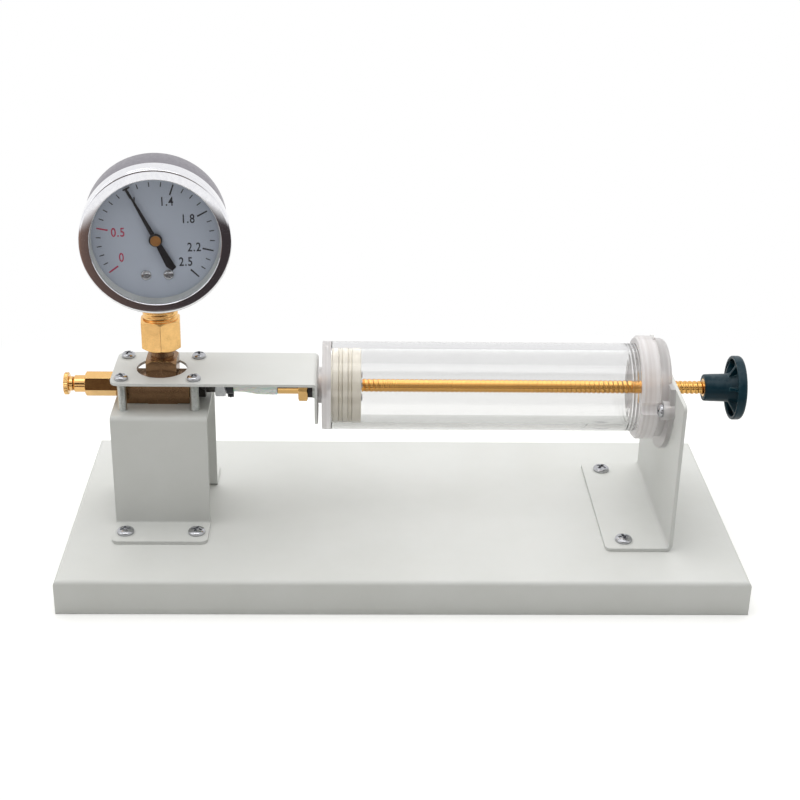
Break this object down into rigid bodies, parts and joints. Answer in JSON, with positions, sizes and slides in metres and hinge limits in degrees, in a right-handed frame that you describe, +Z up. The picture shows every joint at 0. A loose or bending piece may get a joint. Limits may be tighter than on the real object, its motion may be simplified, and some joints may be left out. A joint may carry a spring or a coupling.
{
  "type": "boyles law apparatus",
  "caption": "Classroom gas law demonstrator: a screw-driven piston in a clear cylinder, joined through a brass tee to a pressure gauge and a release valve on a folded steel base.",
  "frame": {"origin": "middle of the base tray's length and depth, on the surface it stands on", "axes": "+X along the cylinder from the gauge to the hand knob, +Y to the back, away from the reader of the dial, +Z up"},
  "size_m": [0.3077, 0.136, 0.1813],
  "materials": {
    "powder_paint": "fine satin powder coat",
    "zinc_steel": "bright zinc plate",
    "yellow_brass": "turned, semi-bright",
    "bronze_tube": "drawn",
    "case_grey": "satin",
    "bezel_chrome": "polished",
    "lens_clear": "polished",
    "ring_white": "satin",
    "dial_face": "printed, satin",
    "dark_steel": "dull",
    "black_plastic": "moulded",
    "hose_milky": "translucent",
    "black_rubber": "matte",
    "clear_acrylic": "clear, polished",
    "piston_plastic": "moulded, milky",
    "knob_green": "moulded, satin",
    "pointer_black": "matte"
  },
  "bodies": {
    "apparatus": {"base_tray": "powder_paint", "tee_stand": "powder_paint", "carrier_plate": "powder_paint", "end_bracket": "powder_paint", "foot_screws": "zinc_steel", "foot_nuts": "zinc_steel", "standoffs": "zinc_steel", "carrier_screws": "zinc_steel", "carrier_nuts": "zinc_steel", "tee_screw": "zinc_steel", "outlet_nut": "zinc_steel", "steel_washer": "zinc_steel", "cap_screws": "zinc_steel", "cap_nuts": "zinc_steel", "bracket_screws": "zinc_steel", "bracket_nuts": "zinc_steel", "dial_screws": "zinc_steel", "tee_block": "yellow_brass", "gauge_nut": "yellow_brass", "gauge_socket": "yellow_brass", "valve_body": "yellow_brass", "nozzle": "yellow_brass", "feed_nut": "yellow_brass", "movement_front": "yellow_brass", "movement_back": "yellow_brass", "bourdon_tube": "bronze_tube", "gauge_case": "case_grey", "gauge_bezel": "bezel_chrome", "gauge_lens": "lens_clear", "dial_ring": "ring_white", "gauge_dial": "dial_face", "outlet_fitting": "dark_steel", "hose_clip": "black_plastic", "air_hose": "hose_milky", "rubber_washer": "black_rubber", "cylinder_end": "clear_acrylic", "cylinder_tube": "clear_acrylic", "end_cap": "clear_acrylic"},
    "piston": {"piston": "piston_plastic", "piston_rings": "black_rubber", "piston_retainer": "yellow_brass", "retainer_screws": "zinc_steel"},
    "lead_screw": {"lead_screw": "yellow_brass", "hand_knob": "knob_green"},
    "valve_seal": {"valve_seal": "black_rubber"},
    "valve_screw": {"valve_screw": "yellow_brass"},
    "pointer": {"gauge_pointer": "pointer_black", "pointer_arbor": "yellow_brass"},
    "sector": {"sector_gear": "yellow_brass"},
    "link": {"movement_link": "yellow_brass"}
  },
  "joints": [
    {"name": "piston_travel", "type": "slide", "parent": "apparatus", "child": "piston", "axis": [1, 0, 0], "range_m": [0, 0.1161]},
    {"name": "screw_turn", "type": "hinge", "parent": "piston", "child": "lead_screw", "pos_m": [0, 0.0023, 0.0768], "axis": [1, 0, 0], "range_deg": [0, 19441]},
    {"name": "valve_lift", "type": "slide", "parent": "apparatus", "child": "valve_seal", "axis": [-1, 0, 0], "range_m": [0, 0.00225]},
    {"name": "valve_turn", "type": "hinge", "parent": "valve_seal", "child": "valve_screw", "pos_m": [-0.15, 0.0023, 0.0768], "axis": [-1, 0, 0], "range_deg": [0, 1081]},
    {"name": "pointer_turn", "type": "hinge", "parent": "apparatus", "child": "pointer", "pos_m": [-0.10676, -0.00954, 0.1493], "axis": [-0.1045, 0.9945, 0], "range_deg": [-104, 156], "stiffness_Nm_per_rad": 0.002},
    {"name": "sector_swing", "type": "hinge", "parent": "apparatus", "child": "sector", "pos_m": [-0.09655, -0.00142, 0.1335], "axis": [-0.1045, 0.9945, 0], "range_deg": [-16, 11]},
    {"name": "link_swing", "type": "hinge", "parent": "sector", "child": "link", "pos_m": [-0.09152, 0.00041, 0.1305], "axis": [-0.1045, 0.9945, 0], "range_deg": [-11, 16]}
  ],
  "couplings": [
    {"joint": "screw_turn", "follows": "piston_travel", "rad_per_m": 2922.4},
    {"joint": "valve_turn", "follows": "valve_lift", "rad_per_m": 8377.6},
    {"joint": "sector_swing", "follows": "pointer_turn", "ratio": -0.1},
    {"joint": "link_swing", "follows": "pointer_turn", "ratio": 0.1}
  ]
}
